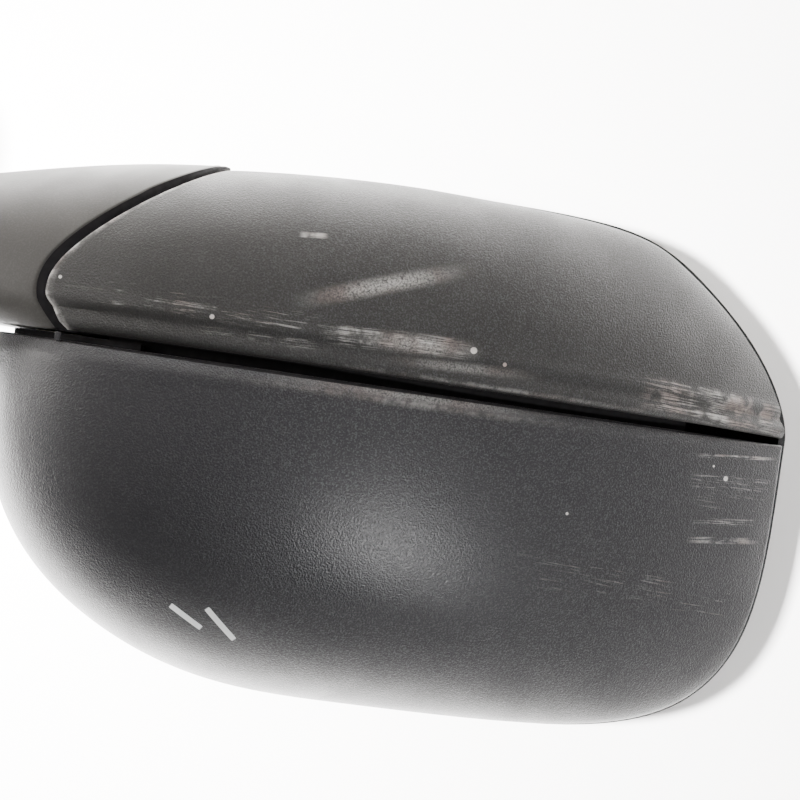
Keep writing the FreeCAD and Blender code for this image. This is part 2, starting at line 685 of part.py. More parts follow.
def holder_ears(x, z, top_y):
    ears = []
    for side in (-1, 1):
        low, high = sorted((z + side * 14.4, z + side * 17.6))
        ears.append(box((x - 4.0, x + 4.0), (top_y, PIVOT_Y + 3.2), (low, high)))
    return ears


def make_glass_holder(opening, outline, x, z, sockets):
    """Ribbed plate that the glass is stuck to; it turns on the gimbal ring's upright pins."""
    back = GLASS_REAR_Y + GLASS_T + 0.5
    plate = opening(outline, -GLASS_GAP - 1.5, (back, back + 2.2))
    hole = rounded_block(42.0, 16.0, (back - 2, back + 10), 4.0, x, z)
    ears = holder_ears(x, z, back)
    cups, bores = [], []
    for dx, dz in sockets:
        spot = Vector(x + dx, PIVOT_Y, z + dz)
        cups.append(rod(BALL_R + 2.6, 8.2, Vector(spot.x, back, spot.z), ALONG_Y))
        bores.append(Part.makeSphere(BALL_R + 0.7, spot))
        bores.append(rod(BALL_R + 0.4, 10, spot, ALONG_Y))
    pin_hole = rod(HINGE_HOLE_R, 60, Vector(x, PIVOT_Y, z - 30), ALONG_Z)
    return fused([plate.cut(hole)] + ears + cups).cut([pin_hole] + bores)


def make_glass(opening, outline):
    return opening(outline, -GLASS_GAP, (GLASS_REAR_Y, GLASS_REAR_Y + GLASS_T))


def make_heater(outline):
    y = GLASS_REAR_Y + GLASS_T
    return main_opening(outline, -GLASS_GAP - 3.0, (y, y + 0.5))


def make_spotter_glass(outline):
    """Convex glass: a slice of a large ball, bulging to the rear."""
    radius = 640.0
    y = (GLASS_REAR_Y - 9.0, GLASS_REAR_Y + GLASS_T)
    block = spotter_opening(outline, -GLASS_GAP + 0.5, y)
    centre = Vector(SPOTTER_X, GLASS_REAR_Y - 5.0 + radius, SPOTTER_Z)
    return block.common(Part.makeSphere(radius, centre))


def make_plunger(dx, dz):
    """Jackscrew with a ball end."""
    x, z = GLASS_X + dx, GLASS_Z + dz
    stem = rod(PLUNGER_R, 23.0, Vector(x, PIVOT_Y + 1, z), ALONG_Y)
    neck = rod(1.9, 4.0, Vector(x, PIVOT_Y, z), ALONG_Y)
    return fused([Part.makeSphere(BALL_R - 0.2, Vector(x, PIVOT_Y, z)), neck, stem])


def make_gear(dx, dz):
    """Toothed nut on the jackscrew."""
    x, z = GLASS_X + dx, GLASS_Z + dz
    low, high = GEAR_Y
    root = GEAR_R - 1.6
    disc = rod(root, high - low, Vector(x, low, z), ALONG_Y)
    teeth = []
    for k in range(GEAR_TEETH):
        tooth = box((x - 0.6, x + 0.6), GEAR_Y, (z + root - 1, z + GEAR_R))
        tooth.rotate(Vector(x, 0, z), ALONG_Y, 360 / GEAR_TEETH * k)
        teeth.append(tooth)
    return fused([disc] + teeth).cut(rod(PLUNGER_R + 0.25, 30, Vector(x, low - 5, z), ALONG_Y))


def make_motor_and_worm(start, along):
    """Motor can with its shaft end, and the worm in front of it. start is the worm's far end."""
    worm_length = 22.0
    core = rod(WORM_R - 0.9, worm_length, start, along)
    pitch = 2.4
    rings = [rod(WORM_R, 1.1, start + along * (1.2 + pitch * k), along) for k in range(9)]
    worm = fused([core] + rings)
    can_start = start + along * (worm_length + 0.5)
    can = rod(MOTOR_R, 24.0, can_start, along)
    end = rod(3.0, 1.5, can_start + along * 24.0, along)
    return fused([can, end]), worm


def make_case_screws():
    front = CASE_Y[0]
    return group([screw(SCREW_HEAD_R, SCREW_R - 0.3, 34.0, Vector(x, front, z), ALONG_Y)
                  for x, z in case_screw_spots()])


def make_bezel_screws():
    return group([screw(SCREW_HEAD_R, SCREW_R - 0.25, 15.0, Vector(x, SCREW_SEAT_Y, z), -ALONG_Y)
                  for x, z in boss_spots()])


def make_spotter_bracket():
    """Plate inside the lower head that carries the spotter's gimbal."""
    y = (-20.0, -16.8)
    plate = rounded_block(120.0, 34.0, y, 6.0, SPOTTER_X, SPOTTER_Z)
    ears, holes = hinge_ears(SPOTTER_X, SPOTTER_Z, y[0], 14.4, 17.6)
    legs = [box((x - 5, x + 5), (BEZEL_REAR_Y + 12.0, y[1]), (SPOTTER_TOP_Z + 2.3, SPOTTER_TOP_Z + 5.3))
            for x in SPOTTER_LEGS]
    risers = [box((x - 5, x + 5), y, (SPOTTER_Z + 12, SPOTTER_TOP_Z + 5.3)) for x in SPOTTER_LEGS]
    return fused([plate] + ears + legs + risers).cut(holes)


def make_clips():
    """Folded spring clips that hold the dome to the frame's ribs."""
    clips = []
    y = FRAME_Y[1] + 8
    for x in [rib_x + RIB_T / 2 for rib_x in RIB_XS]:
        outer = box((x - 3.2, x + 3.2), (y - 7, y + 1.0), (96.0, 104.0))
        clips.append(outer.cut(box((x - 1.6, x + 1.6), (y - 8, y + 0.1), (95.0, 105.0))))
    return group(clips)


# ---- assembly -----------------------------------------------------------------------------------
def build():
    outline = head_rim()
    arm_front, arm_rear = make_arm_covers()
    case_rear, case_front = make_case_halves()
    tilt_motor, tilt_worm = make_motor_and_worm(
        Vector(GLASS_X + 12.0, (GEAR_Y[0] + GEAR_Y[1]) / 2, GLASS_Z + TILT_ARM - WORM_OFFSET), -ALONG_X)
    pan_motor, pan_worm = make_motor_and_worm(
        Vector(GLASS_X + PAN_ARM - WORM_OFFSET, (GEAR_Y[0] + GEAR_Y[1]) / 2, GLASS_Z + 12.0), -ALONG_Z)
    sockets = [(0.0, TILT_ARM), (PAN_ARM, 0.0)]
    return {
        "arm_core": make_arm_core(),
        "arm_cover_front": arm_front,
        "arm_cover_rear": arm_rear,
        "foot_cover": make_foot_cover(),
        "foot_gasket": make_gasket(),
        "mounting_studs": make_studs(),
        "cable_grommet": make_grommet(),
        "pivot_post": make_post(),
        "detent_ring": make_detent_ring(),
        "fold_spring": make_fold_spring(),
        "spring_cap": make_spring_cap(),
        "head_frame": make_head_frame(),
        "dome_cover": make_dome(),
        "lower_trim": make_trim(),
        "bezel": make_bezel(outline),
        "bezel_screws": make_bezel_screws(),
        "cover_clips": make_clips(),
        "drive_case_rear": case_rear,
        "drive_case_front": case_front,
        "drive_screws": make_case_screws(),
        "tilt_motor": tilt_motor,
        "tilt_worm": tilt_worm,
        "tilt_gear": make_gear(0.0, TILT_ARM),
        "tilt_plunger": make_plunger(0.0, TILT_ARM),
        "pan_motor": pan_motor,
        "pan_worm": pan_worm,
        "pan_gear": make_gear(PAN_ARM, 0.0),
        "pan_plunger": make_plunger(PAN_ARM, 0.0),
        "glass_gimbal": make_gimbal_ring(GLASS_X, GLASS_Z),
        "glass_holder": make_glass_holder(main_opening, outline, GLASS_X, GLASS_Z, sockets),
        "glass_heater": make_heater(outline),
        "main_glass": make_glass(main_opening, outline),
        "spotter_bracket": make_spotter_bracket(),
        "spotter_gimbal": make_gimbal_ring(SPOTTER_X, SPOTTER_Z),
        "spotter_holder": make_glass_holder(spotter_opening, outline, SPOTTER_X, SPOTTER_Z, []),
        "spotter_glass": make_spotter_glass(outline),
    }


def main():
    os.makedirs("parts", exist_ok=True)
    for name, shape in build().items():
        shape.exportStep(os.path.join("parts", name + ".step"))
        print(name, "valid" if shape.isValid() else "NOT VALID", len(shape.Solids), round(shape.Volume))


main()
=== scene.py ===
import json
import math

import bpy
import numpy as np
from mathutils import Matrix, Vector


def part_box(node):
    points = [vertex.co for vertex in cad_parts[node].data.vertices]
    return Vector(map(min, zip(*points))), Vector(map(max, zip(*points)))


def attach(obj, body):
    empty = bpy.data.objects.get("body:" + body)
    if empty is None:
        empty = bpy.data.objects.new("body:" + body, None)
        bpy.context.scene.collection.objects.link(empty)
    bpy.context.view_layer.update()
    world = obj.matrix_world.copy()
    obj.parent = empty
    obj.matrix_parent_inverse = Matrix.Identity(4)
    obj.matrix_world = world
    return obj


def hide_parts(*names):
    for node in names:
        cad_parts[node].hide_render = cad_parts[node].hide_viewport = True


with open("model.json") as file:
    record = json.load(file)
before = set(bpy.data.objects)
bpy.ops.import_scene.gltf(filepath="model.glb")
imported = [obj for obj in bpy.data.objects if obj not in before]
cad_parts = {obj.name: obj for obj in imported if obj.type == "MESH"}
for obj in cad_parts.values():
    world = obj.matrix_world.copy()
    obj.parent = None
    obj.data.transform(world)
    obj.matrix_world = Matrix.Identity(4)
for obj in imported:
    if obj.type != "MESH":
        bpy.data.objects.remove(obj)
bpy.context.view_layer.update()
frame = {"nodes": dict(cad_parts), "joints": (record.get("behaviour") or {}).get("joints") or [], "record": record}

MM = 0.001

# ---- places taken from the frame ----------------------------------------------------------------
dome_low, dome_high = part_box("dome_cover")
trim_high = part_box("lower_trim")[1]
bezel_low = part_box("bezel")[0]
JOINTS = {joint["name"]: joint for joint in frame["joints"]}
PIVOT_X = JOINTS["head_fold"]["pos_m"][0] / MM

# ---- the covers' shape, in millimetres as in the design -----------------------------------------
WALL = 2.5
GROOVE = 3.0
EDGE_Y = dome_low[1] / MM
EDGE_LIP = 2.0
TONGUE_GAP = 0.6                                    # from the trim's tongue up to the dome
GROOVE_Z = trim_high[2] / MM + TONGUE_GAP - GROOVE / 2
REAR_Y = bezel_low[1] / MM
HEAD_MID_X = (dome_low[0] + dome_high[0]) / 2 / MM
HALF_WIDTH = (dome_high[0] - dome_low[0]) / 2 / MM
DOME_RISE = dome_high[2] / MM - GROOVE_Z
DOME_CORNERS = (2.5, 4.1)
DOME_HEIGHT = 142.0
DOME_NOSE = 1 / 3
DOME_TAIL = 0.95
DOME_BEND = 3.2
TRIM_DROP = 75.0
TRIM_TAPER = 0.03
TRIM_RISE = 0.13
TRIM_CORNERS = (2.55, 1.65)
TRIM_END = 5.0
TRIM_HEIGHT = 67.5
TRIM_CREST_X = 155.0
TRIM_INBOARD_FALL = 6.0 / 50.0 ** 2
TRIM_BEND = 2.2
RIDGE_DROP = 13.0
RIDGE_RISE = 0.5
LIP_FALL = 3.5
CUT_R = 48.5                                        # the trim is cut away round the arm's end
SEAM_CHAMFER = 11.0
ARM_TOP_Z = 26.0
ARM_EDGE_R = 46.3                                   # how far the arm's own skin reaches
SEAM_WIDTH = 2.8
ARM_START_X = 10.3
ARM_SPLIT_Y = -11.85
SKIRT_GAP = 0.7
SKIRT_END_X = 139.0
SKIRT_INSETS = (6.5, 8.0)
TONGUE_INSETS = (6.5, 8.5)
FLANGE_INSETS = (WALL * 0.6, 11.0)
SEAM_ROUND = 1.5
SHOWN_Y = 36.0                                      # the arm's seam against the trim shows in front of this

# x, front y, middle y, rear y, bottom z and height of the top above the ridge
ARM_STATIONS = np.array([(2.0, 46.0, 0.0, -46.0, -33.0, 20.0), (20.0, 38.0, -2.0, -38.0, -28.0, 14.0),
                         (45.0, 32.0, -5.0, -32.0, -26.0, 11.0), (72.0, 38.5, -8.0, -37.0, -31.0, 16.0),
                         (98.0, 46.7, -11.0, -42.0, -37.0, 28.0), (125.0, 52.0, -13.0, -43.0, -42.0, 30.0),
                         (172.0, 54.4, -13.0, -43.0, -46.5, 30.0)])


# ---- the photograph's viewpoint -----------------------------------------------------------------
VIEW_DISTANCE = 385.0                               # from the covers' edge plane
VIEW_ROLL = math.radians(8.25)
VIEW_X = 225.4


def add_camera():
    """Looks at the front of the head, which lies upside down as the picture is taken."""
    camera = bpy.data.objects.new("camera", bpy.data.cameras.new("camera"))
    bpy.context.scene.collection.objects.link(camera)
    camera.data.sensor_width = 36.0
    camera.data.lens = 45.0
    camera.data.clip_start = 0.01
    right = Vector((math.cos(VIEW_ROLL), 0, -math.sin(VIEW_ROLL)))
    up = Vector((-math.sin(VIEW_ROLL), 0, -math.cos(VIEW_ROLL)))
    turn = Matrix((right, up, right.cross(up))).transposed()
    place = Vector((VIEW_X, EDGE_Y + VIEW_DISTANCE, GROOVE_Z + 5.0)) * MM
    camera.matrix_world = Matrix.Translation(place) @ turn.to_4x4()
    bpy.context.scene.camera = camera


# ---- signs of use and painted highlights, in millimetres ----------------------------------------
# from (x, z), to (x, z), width, density, strength
TRIM_SCUFFS = [((110, 12), (215, 13), 9, 0.45, 0.35), ((196, 15), (250, 13), 8, 0.8, 0.7),
               ((305, 17), (376, 20), 15, 0.75, 0.75), ((330, 15), (374, 17), 8, 0.9, 0.6),
               ((185, -16), (195, -17), 2.4, 1.0, 0.6), ((150, 20), (205, 19), 4, 0.5, 0.25)]
DOME_SCUFFS = [((334, 37), (372, 34), 1.8, 1.0, 0.6), ((332, 46), (372, 45), 7, 0.45, 0.35),
               ((336, 61), (370, 59), 3, 0.7, 0.35), ((334, 68), (370, 66), 3, 0.8, 0.35),
               ((262, 82), (368, 92), 16, 0.3, 0.2), ((335, 52), (372, 53), 8, 0.35, 0.25)]
# from, to, width, strength of lighter bands on the grain tops; on the trim these are rubs with painted highlight
# over them
TRIM_SHEEN_AND_RUBS = [((184, 8), (246, -15), 8, 0.55), ((205, 15), (252, 13), 9, 0.5),
               ((215, 20), (275, 18), 5, 0.3)]
# on the dome: painted highlight along the chamfer strip next to the groove
DOME_CHAMFER_SHEEN = [((175, 31), (285, 31), 5, 0.3), ((215, 31), (262, 31), 4, 0.3)]
# at, radius
TRIM_SPECKS = [((163, 15), 0.9), ((258, 16), 0.8), ((247, 13), 1.3), ((112, 9), 0.7)]
DOME_SPECKS = [((349, 44), 1.1), ((288, 63), 0.6), ((343, 40), 0.5)]
# from, to, width of paint-pen marks
PEN_STROKES = [((160, 109), (172, 117), 2.3), ((172, 108), (183, 120), 2.3)]


# ---- node helpers -------------------------------------------------------------------------------
class Tree:
    """A material's node tree with short calls for the nodes used here."""

    def __init__(self, name):
        self.material = bpy.data.materials.new(name)
        self.material.use_nodes = True
        self.nodes = self.material.node_tree.nodes
        self.links = self.material.node_tree.links
        self.shader = self.nodes["Principled BSDF"]
        self.place = self.nodes.new("ShaderNodeTexCoord").outputs["Object"]

    def put(self, value, socket):
        if isinstance(value, bpy.types.NodeSocket):
            self.links.new(value, socket)
        else:
            socket.default_value = value

    def math(self, operation, a, b=0.0):
        node = self.nodes.new("ShaderNodeMath")
        node.operation = operation
        self.put(a, node.inputs[0])
        self.put(b, node.inputs[1])
        return node.outputs[0]

    def noise(self, scale, detail=2.0, roughness=0.5, place=None, distortion=0.0):
        node = self.nodes.new("ShaderNodeTexNoise")
        node.inputs["Scale"].default_value = scale
        node.inputs["Detail"].default_value = detail
        node.inputs["Roughness"].default_value = roughness
        node.inputs["Distortion"].default_value = distortion
        self.put(place or self.place, node.inputs["Vector"])
        return node.outputs[0]

    def cells(self, scale):
        """Soft round cells, as many per metre as scale says."""
        node = self.nodes.new("ShaderNodeTexVoronoi")
        node.feature = "SMOOTH_F1"
        node.inputs["Scale"].default_value = scale
        self.links.new(self.place, node.inputs["Vector"])
        return node.outputs["Distance"]

    def stretched(self, size, turn=0.0, shift=(0, 0, 0)):
        """The place, turned about Y and squeezed by size along each axis."""
        node = self.nodes.new("ShaderNodeMapping")
        node.vector_type = "TEXTURE"
        node.inputs["Location"].default_value = shift
        node.inputs["Rotation"].default_value = (0, turn, 0)
        node.inputs["Scale"].default_value = size
        self.links.new(self.place, node.inputs["Vector"])
        return node.outputs[0]

    def ramp(self, value, low, high, out_low=0.0, out_high=1.0):
        node = self.nodes.new("ShaderNodeMapRange")
        node.interpolation_type = "SMOOTHSTEP"
        self.put(value, node.inputs["Value"])
        node.inputs["From Min"].default_value = low
        node.inputs["From Max"].default_value = high
        node.inputs["To Min"].default_value = out_low
        node.inputs["To Max"].default_value = out_high
        return node.outputs[0]

    def split(self, place):
        node = self.nodes.new("ShaderNodeSeparateXYZ")
        self.links.new(place, node.inputs[0])
        return node.outputs

    def mix(self, share, a, b):
        node = self.nodes.new("ShaderNodeMix")
        node.data_type = "RGBA"
        self.put(share, node.inputs["Factor"])
        self.put(a, node.inputs["A"])
        self.put(b, node.inputs["B"])
        return node.outputs["Result"]

    def bump(self, height, distance):
        node = self.nodes.new("ShaderNodeBump")
        node.inputs["Distance"].default_value = distance
        node.inputs["Strength"].default_value = 1.0
        self.put(height, node.inputs["Height"])
        return node.outputs[0]

    def patch(self, start, end, width, softness=0.35):
        """Mask of a soft band from start to end, given as (x, z) in millimetres."""
        run = Vector((end[0] - start[0], end[1] - start[1]))
        turn = math.atan2(-run.y, run.x)
        middle = ((start[0] + end[0]) / 2 * MM, 0, (start[1] + end[1]) / 2 * MM)
        x, _, z = self.split(self.stretched((run.length / 2 * MM, 1, width / 2 * MM), turn, middle))
        along = self.ramp(self.math("ABSOLUTE", x), 1.0, 1.0 - softness)
        across = self.ramp(self.math("ABSOLUTE", z), 1.0, 1.0 - softness)
        return self.math("MULTIPLY", along, across)

    def streaks(self, start, end, width, density, fineness=1.0, softness=0.5):
        """Mask of fine scratches that run from start to end inside a soft band."""
        turn = math.atan2(start[1] - end[1], end[0] - start[0])
        lines = self.noise(1.0, 4.0, 0.65, self.stretched((0.016, 0.02, 0.00055 / fineness), turn), 0.6)
        cut = self.ramp(lines, 0.62 - density * 0.2, 0.72 - density * 0.2)
        breaks = self.ramp(self.noise(160.0, 3.0, 0.6), 0.35, 0.6)
        mask = self.math("MULTIPLY", self.patch(start, end, width, softness), cut)
        return self.math("MULTIPLY", mask, breaks)


# ---- plastics -----------------------------------------------------------------------------------
GRAIN_SIZE = 1800.0                                 # grains per metre
DUST = (0.16, 0.155, 0.15, 1)
# lighter colour of the specks on the grain: painted glints
GLINT_SPECKLE = (0.065, 0.065, 0.068, 1)
# light colours of rubbed plastic, also used for painted highlights
RUB_AND_SHEEN_DARK = (0.42, 0.34, 0.31, 1)
RUB_AND_SHEEN_LIGHT = (0.62, 0.60, 0.57, 1)
PAINT_PEN = (0.78, 0.79, 0.79, 1)


def grained_plastic(name, color, roughness, grain=1.0, scuffs=(), sheen_and_rubs=(), specks=(), pen_strokes=(),
                    coat=0.0):
    """Moulded black plastic with fine leather-like grain, dust, painted glints, and where asked scratches and
    painted highlights.
    """
    tree = Tree(name)
    shader = tree.shader
    pebbles = tree.cells(GRAIN_SIZE)
    fine = tree.noise(GRAIN_SIZE * 1.3, 3.0, 0.6)
    height = tree.math("ADD", tree.math("MULTIPLY", pebbles, -0.8), tree.math("MULTIPLY", fine, 0.7))
    cloudy = tree.ramp(tree.noise(9.0, 4.0, 0.6), 0.3, 0.75)
    base = tree.mix(cloudy, (*[c * 0.86 for c in color], 1), (*[c * 1.18 for c in color], 1))
    dust = tree.ramp(height, 0.15, -0.35, 0.0, 0.10)
    base = tree.mix(dust, base, DUST)
    # lighter specks on the grain, strongest across the middle of the head: painted glints of the flash
    x = tree.split(tree.place)[0]
    where = tree.math("MULTIPLY", tree.ramp(x, 0.13, 0.21), tree.ramp(x, 0.37, 0.30, 0.4, 1.0))
    painted_glints = tree.ramp(tree.noise(GRAIN_SIZE, 1.0, 0.4), 0.52, 0.64, 0.0, 0.55 * min(grain, 1.0))
    base = tree.mix(tree.math("MULTIPLY", painted_glints, where), base, GLINT_SPECKLE)
    # The mesh's attribute carries real wear along seams and painted highlight lines along edges.
    attribute = tree.nodes.new("ShaderNodeAttribute")
    attribute.attribute_name = "wear_and_sheen"
    patchy = tree.ramp(tree.noise(220.0, 4.0, 0.7), 0.42, 0.6, 0.25, 1.0)
    wear_and_sheen = tree.math("MULTIPLY", attribute.outputs["Fac"], patchy)
    for start, end, width, density, strength in scuffs:
        marks = tree.math("MULTIPLY", tree.streaks(start, end, width, density), strength)
        wear_and_sheen = tree.math("MAXIMUM", wear_and_sheen, marks)
    # Lighter bands on the grain tops: rubs, and painted highlight bands.
    for start, end, width, strength in sheen_and_rubs:
        grit = tree.ramp(height, -0.35, 0.25)
        sheen_rub = tree.math("MULTIPLY", tree.patch(start, end, width, 0.9), grit)
        sheen_rub = tree.math("MULTIPLY", sheen_rub, strength)
        wear_and_sheen = tree.math("MAXIMUM", wear_and_sheen, sheen_rub)
    for spot, size in specks:
        x, _, z = tree.split(tree.stretched((size * MM, 1, size * MM), 0.0, (spot[0] * MM, 0, spot[1] * MM)))
        away = tree.math("SQRT", tree.math("ADD", tree.math("MULTIPLY", x, x), tree.math("MULTIPLY", z, z)))
        dot = tree.ramp(away, 1.0, 0.7, 0.0, 1.0)
        wear_and_sheen = tree.math("MAXIMUM", wear_and_sheen, dot)
    # One light colour serves the scratches, rubs and specks, and the painted highlights.
    rub_and_sheen_color = tree.mix(tree.ramp(tree.noise(70.0, 2.0), 0.35, 0.6), RUB_AND_SHEEN_DARK, RUB_AND_SHEEN_LIGHT)
    base = tree.mix(wear_and_sheen, base, rub_and_sheen_color)
    height = tree.math("SUBTRACT", height, tree.math("MULTIPLY", wear_and_sheen, 0.5))
    for start, end, width in pen_strokes:
        stroke = tree.ramp(tree.patch(start, end, width, 0.3), 0.3, 0.6)
        stroke = tree.math("MULTIPLY", stroke, tree.ramp(height, -0.6, -0.2, 0.7, 1.0))
        base = tree.mix(stroke, base, PAINT_PEN)
    patches = tree.ramp(tree.noise(40.0, 3.0), 0.3, 0.7, roughness - 0.05, roughness + 0.06)
    tree.links.new(tree.math("ADD", patches, tree.math("MULTIPLY", wear_and_sheen, 0.2)), shader.inputs["Roughness"])
    tree.links.new(base, shader.inputs["Base Color"])
    tree.links.new(tree.bump(height, 0.00030 * grain), shader.inputs["Normal"])
    tree.links.new(tree.bump(height, 0.00008 * grain), shader.inputs["Coat Normal"])
    shader.inputs["Coat Weight"].default_value = coat
    shader.inputs["Coat Roughness"].default_value = 0.24
    shader.inputs["Specular IOR Level"].default_value = 0.36
    return tree.material


# ---- metal, glass and the rest ------------------------------------------------------------------
def metal(name, color, roughness, grain_scale=600.0, bump=0.00004):
    tree = Tree(name)
    shader = tree.shader
    shader.inputs["Metallic"].default_value = 1.0
    mottle = tree.noise(grain_scale, 4.0, 0.6)
    tree.links.new(tree.mix(tree.ramp(tree.noise(70.0, 3.0), 0.3, 0.7), (*[c * 0.8 for c in color], 1),
                            (*color, 1)), shader.inputs["Base Color"])
    tree.links.new(tree.ramp(mottle, 0.25, 0.75, roughness - 0.08, roughness + 0.1),
                   shader.inputs["Roughness"])
    tree.links.new(tree.bump(mottle, bump), shader.inputs["Normal"])
    return tree.material


def plain_plastic(name, color, roughness):
    tree = Tree(name)
    shader = tree.shader
    sparkle = tree.noise(900.0, 3.0, 0.6)
    tree.links.new(tree.mix(tree.ramp(tree.noise(30.0, 3.0), 0.3, 0.7), (*[c * 0.85 for c in color], 1),
                            (*color, 1)), shader.inputs["Base Color"])
    tree.links.new(tree.ramp(sparkle, 0.2, 0.8, roughness - 0.07, roughness + 0.07),
                   shader.inputs["Roughness"])
    tree.links.new(tree.bump(sparkle, 0.00004), shader.inputs["Normal"])
    return tree.material


def mirror_glass(name):
    """Silvered glass with faint dust and wiped streaks."""
    tree = Tree(name)
    shader = tree.shader
    shader.inputs["Metallic"].default_value = 1.0
    shader.inputs["Coat Weight"].default_value = 0.6
    shader.inputs["Coat Roughness"].default_value = 0.02
    wipes = tree.noise(1.0, 4.0, 0.6, tree.stretched((0.12, 0.05, 0.01), 0.4))
    haze = tree.math("MULTIPLY", tree.ramp(wipes, 0.45, 0.8), 0.5)
    tree.links.new(tree.mix(haze, (0.86, 0.88, 0.89, 1), (0.74, 0.75, 0.75, 1)), shader.inputs["Base Color"])
    tree.links.new(tree.ramp(wipes, 0.4, 0.9, 0.015, 0.09), shader.inputs["Roughness"])
    return tree.material


def heater_foil(name):
    tree = Tree(name)
    shader = tree.shader
    z = tree.split(tree.stretched((0.006, 1, 0.006)))[2]
    track = tree.ramp(tree.math("ABSOLUTE", tree.math("SINE", z)), 0.2, 0.35)
    tree.links.new(tree.mix(track, (0.32, 0.20, 0.07, 1), (0.04, 0.035, 0.03, 1)),
                   shader.inputs["Base Color"])
    tree.links.new(tree.ramp(tree.noise(200.0), 0.3, 0.7, 0.3, 0.45), shader.inputs["Roughness"])
    return tree.material


# ---- surface formulas of the covers, on arrays --------------------------------------------------
def rounded(value, power):
    return (1 - np.abs(value) ** power / 2) ** (1 / power)


def corner_power(corners, a):
    inboard, outboard = corners
    return (inboard + outboard) / 2 + (outboard - inboard) / 2 * np.sin(np.pi * a / 2)


def dome_skin(s, b):
    """s is 0 to 1 from the inboard to the outboard end, b 0 to 1 from the groove to the top."""
    a = 2 * s - 1
    power = corner_power(DOME_CORNERS, a)
    wing = s ** DOME_NOSE * (1 - s) ** DOME_TAIL
    bend = np.sqrt(np.clip(1 - b ** DOME_BEND, 0, None))
    return np.stack([HEAD_MID_X + HALF_WIDTH * a * rounded(b, power),
                     EDGE_Y + EDGE_LIP + DOME_HEIGHT * wing * bend,
                     GROOVE_Z + DOME_RISE * b * rounded(a, power)], -1)


def dome_at(u, v):
    start = GROOVE / 2 / DOME_RISE
    return dome_skin(np.clip(1 - np.cos(np.pi * u / 2), 0, 1) ** 1.5,
                     start + (1 - start) * np.sin(np.pi * v / 2))


def ridge_height(x):
    share = (x - TRIM_CREST_X) / (HEAD_MID_X + HALF_WIDTH - TRIM_CREST_X)
    return np.where(x > TRIM_CREST_X, TRIM_HEIGHT * (1 - np.abs(share) ** 2),
                    TRIM_HEIGHT - TRIM_INBOARD_FALL * (TRIM_CREST_X - x) ** 2)


def trim_skin(a, b):
    """a runs along the head, -1 to 1, and b 0 to 1 from the groove down to the bottom edge."""
    drop = np.where(a < 0, TRIM_DROP * (1 - TRIM_RISE * a ** 2),
                    TRIM_DROP * (1 - TRIM_TAPER * a) * rounded(a, TRIM_END))
    ridge_b = RIDGE_DROP / TRIM_DROP * (1 - RIDGE_RISE * np.clip(a, 0, None))
    lip = 1 - LIP_FALL / TRIM_HEIGHT * np.clip(1 - b / ridge_b, 0, None) ** 2
    below = np.clip((b - ridge_b) / (1 - ridge_b), 0, None)
    fall = np.sqrt(np.clip(1 - below ** TRIM_BEND, 0, None))
    height = ridge_height(HEAD_MID_X + HALF_WIDTH * a) * np.where(b < ridge_b, lip, fall)
    return np.stack([HEAD_MID_X + HALF_WIDTH * a * rounded(b, corner_power(TRIM_CORNERS, a)),
                     EDGE_Y + EDGE_LIP + height,
                     GROOVE_Z - drop * b], -1)


def seam_side(point):
    """Positive where the trim is, zero on its seam against the arm."""
    x, y, z = point[..., 0], point[..., 1], point[..., 2]
    ridge_z = GROOVE_Z - RIDGE_DROP
    slope = (SEAM_CHAMFER + 1.0) / (RIDGE_DROP - GROOVE / 2 + 2.0)
    sides = [x - PIVOT_X, np.hypot(x - PIVOT_X, y) - CUT_R,
             x - PIVOT_X + 1.0 - (z - ridge_z + 2.0) * slope]
    total = sum(np.exp(-np.clip(side, -60, 60) / SEAM_ROUND) for side in sides)
    return -SEAM_ROUND * np.log(total)


def seam_start(b):
    """Where along the trim its seam lies, for each b, found by halving."""
    low, high = np.full_like(b, -0.97), np.full_like(b, 0.4)
    for _ in range(40):
        middle = (low + high) / 2
        inside = seam_side(trim_skin(middle, b)) > 0
        high = np.where(inside, middle, high)
        low = np.where(inside, low, middle)
    return high


def trim_at(u, v):
    start = GROOVE / 2 / TRIM_DROP
    b = start + (1 - start) * np.sin(np.pi * v / 2)
    first = seam_start(b)
    return trim_skin(first + (1 - first) * u, b)


def natural_spline(knots, values, x):
    """Smooth curve through the knots, without bending at its two ends."""
    count = len(knots)
    gaps = np.diff(knots)
    system, right = np.eye(count), np.zeros(count)
    for i in range(1, count - 1):
        system[i, i - 1:i + 2] = gaps[i - 1], 2 * (gaps[i - 1] + gaps[i]), gaps[i]
        right[i] = 6 * ((values[i + 1] - values[i]) / gaps[i] - (values[i] - values[i - 1]) / gaps[i - 1])
    bends = np.linalg.solve(system, right)
    k = np.clip(np.searchsorted(knots, x) - 1, 0, count - 2)
    gap, before, after = gaps[k], x - knots[k], knots[k + 1] - x
    return ((bends[k] * after ** 3 + bends[k + 1] * before ** 3) / (6 * gap)
            + (values[k] / gap - bends[k] * gap / 6) * after
            + (values[k + 1] / gap - bends[k + 1] * gap / 6) * before)


def arm_skin(x, w):
    """The arm's front half: w is 0 along its top seam and 1 along its bottom seam."""
    knots = ARM_STATIONS[:, 0]
    front, middle, rear, bottom, rise = [natural_spline(knots, ARM_STATIONS[:, k], x) for k in range(1, 6)]
    beyond = ARM_SPLIT_Y - middle
    share = np.where(beyond > 0, beyond / (front - middle), beyond / (middle - rear))
    angle = np.arccos(share) * (1 - 2 * w)
    across, up = np.cos(angle), np.sin(angle)
    y = middle + across * np.where(across > 0, front - middle, middle - rear)
    ridge_z = GROOVE_Z - RIDGE_DROP
    z = ridge_z + np.sign(up) * np.abs(up) ** (2 / 2.2) * np.where(up > 0, rise, ridge_z - bottom)
    flat = np.clip((x - 50.0) / 8.0, 0, 1)
    z = z - flat * np.clip(z - ARM_TOP_Z, 0, None)
    return np.stack([x, y, z], -1)


